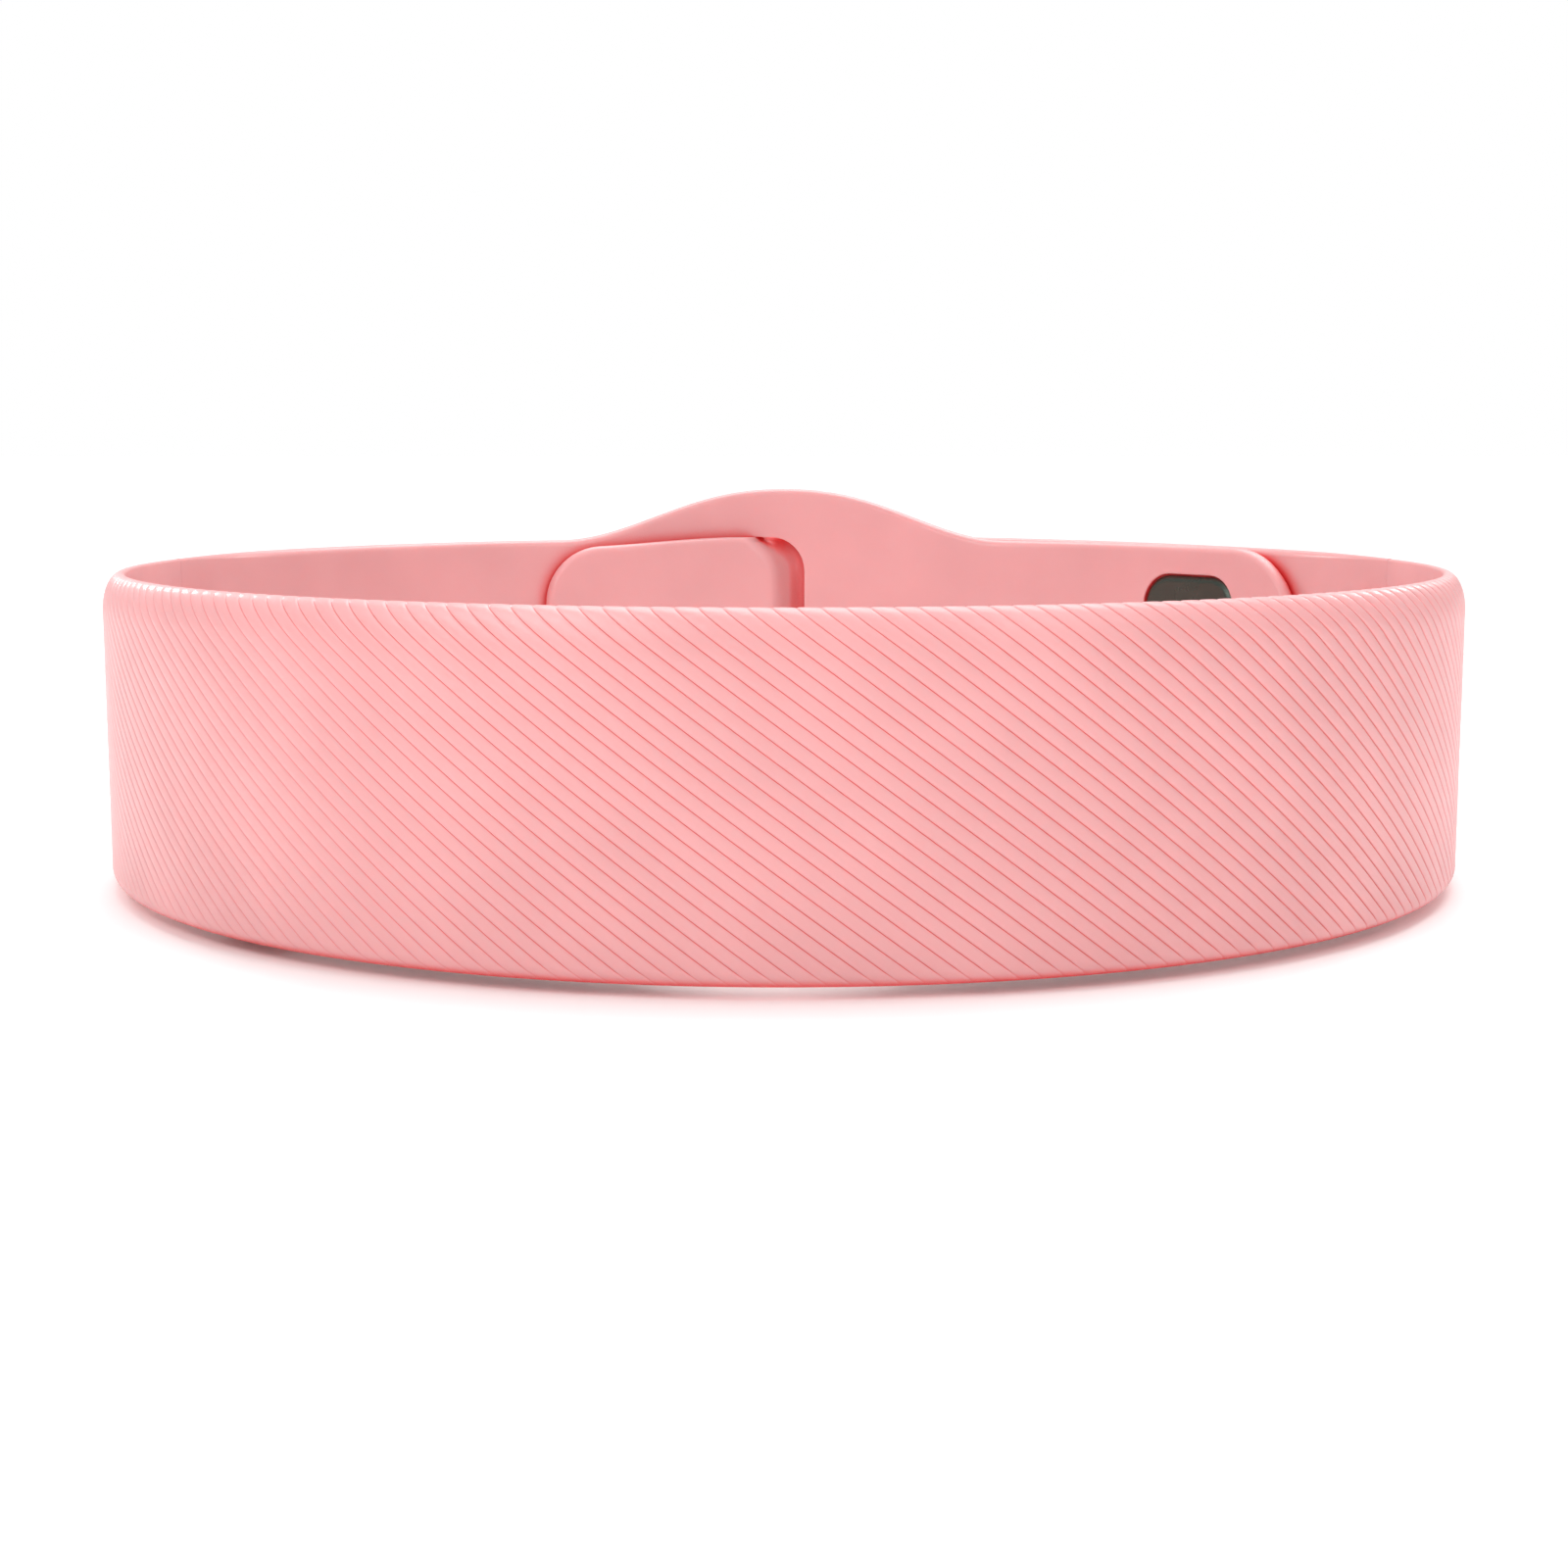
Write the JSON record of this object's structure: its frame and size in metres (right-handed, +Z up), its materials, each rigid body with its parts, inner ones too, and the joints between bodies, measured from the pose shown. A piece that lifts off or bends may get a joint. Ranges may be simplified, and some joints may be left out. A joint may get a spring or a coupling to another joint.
{
  "type": "eye massager mask",
  "caption": "Wrap-around eye massager: ribbed silicone front over heated vibrating eye pads, with straps that close by pins and a tucked tail.",
  "frame": {"origin": "centre of the ring's outline on the plane that its lower rim stands on", "axes": "+Z up, -Y the front of the ring (outer side of the ribbed cover), +X the wearer's left"},
  "size_m": [0.1884, 0.178, 0.0502],
  "materials": {
    "ribbed_silicone": "soft matt pink silicone, ribbed outside",
    "strap_silicone": "soft matt pink silicone, smooth",
    "pad_silicone": "soft matt pale pink silicone",
    "pink_plastic": "satin moulded pink plastic",
    "white_plastic": "satin moulded plastic",
    "dark_plastic": "moulded black plastic",
    "clear_plastic": "clear moulded light guide",
    "gunmetal": "dark polished gunmetal",
    "steel": "plain bright steel",
    "circuit_board": "green solder mask",
    "copper_film": "amber polyimide film with copper",
    "battery_foil": "crimped silver pouch foil",
    "red_lead": "red insulation",
    "black_lead": "black insulation"
  },
  "bodies": {
    "mask": {"front_cover": "ribbed_silicone", "slot_strap": "strap_silicone", "tail_strap": "strap_silicone", "left_eye_pad": "pad_silicone", "right_eye_pad": "pad_silicone", "left_temple_pad": "pad_silicone", "right_temple_pad": "pad_silicone", "bridge_pad": "pad_silicone", "face_plate": "pink_plastic", "housing_shell": "white_plastic", "left_massage_plate": "white_plastic", "right_massage_plate": "white_plastic", "control_chip": "dark_plastic", "driver_chip": "dark_plastic", "power_switch": "dark_plastic", "mode_switch": "dark_plastic", "socket_tongue": "dark_plastic", "status_light": "clear_plastic", "pin_plate": "gunmetal", "lower_pin": "gunmetal", "upper_pin": "gunmetal", "charge_socket": "steel", "left_strap_clamp": "steel", "right_strap_clamp": "steel", "left_motor_can": "steel", "right_motor_can": "steel", "face_screw_centre": "steel", "face_screw_left_upper": "steel", "face_screw_left_lower": "steel", "face_screw_right_upper": "steel", "face_screw_right_lower": "steel", "left_clamp_screw_upper": "steel", "left_clamp_screw_lower": "steel", "right_clamp_screw_upper": "steel", "right_clamp_screw_lower": "steel", "control_board": "circuit_board", "button_board": "circuit_board", "port_board": "circuit_board", "button_ribbon": "copper_film", "left_heat_film": "copper_film", "right_heat_film": "copper_film", "battery": "battery_foil", "battery_lead_red": "red_lead", "left_motor_lead": "red_lead", "right_motor_lead": "red_lead", "battery_lead_black": "black_lead"},
    "left_rotor": {"left_motor_weight": "gunmetal", "left_motor_shaft": "steel"},
    "right_rotor": {"right_motor_weight": "gunmetal", "right_motor_shaft": "steel"},
    "power_key": {"power_button": "pink_plastic"},
    "mode_key": {"mode_button": "pink_plastic"},
    "port_cover": {"port_flap": "pad_silicone"}
  },
  "joints": [
    {"name": "left_motor_spin", "type": "hinge", "parent": "mask", "child": "left_rotor", "pos_m": [0.03092, -0.07771, 0.0154], "axis": [0, 0, 1], "continuous": true},
    {"name": "right_motor_spin", "type": "hinge", "parent": "mask", "child": "right_rotor", "pos_m": [-0.03092, -0.07771, 0.0154], "axis": [0, 0, 1], "continuous": true},
    {"name": "power_press", "type": "slide", "parent": "mask", "child": "power_key", "axis": [-1, 0.0074, 0], "range_m": [0, 0.0004], "stiffness_N_per_m": 2500, "springref_m": -0.0002},
    {"name": "mode_press", "type": "slide", "parent": "mask", "child": "mode_key", "axis": [-0.9935, -0.114, 0], "range_m": [0, 0.0004], "stiffness_N_per_m": 2500, "springref_m": -0.0002},
    {"name": "port_cover_hinge", "type": "hinge", "parent": "mask", "child": "port_cover", "pos_m": [-0.06001, -0.05611, 0.0014], "axis": [0.7262, -0.6875, 0], "range_deg": [0, 110]}
  ]
}
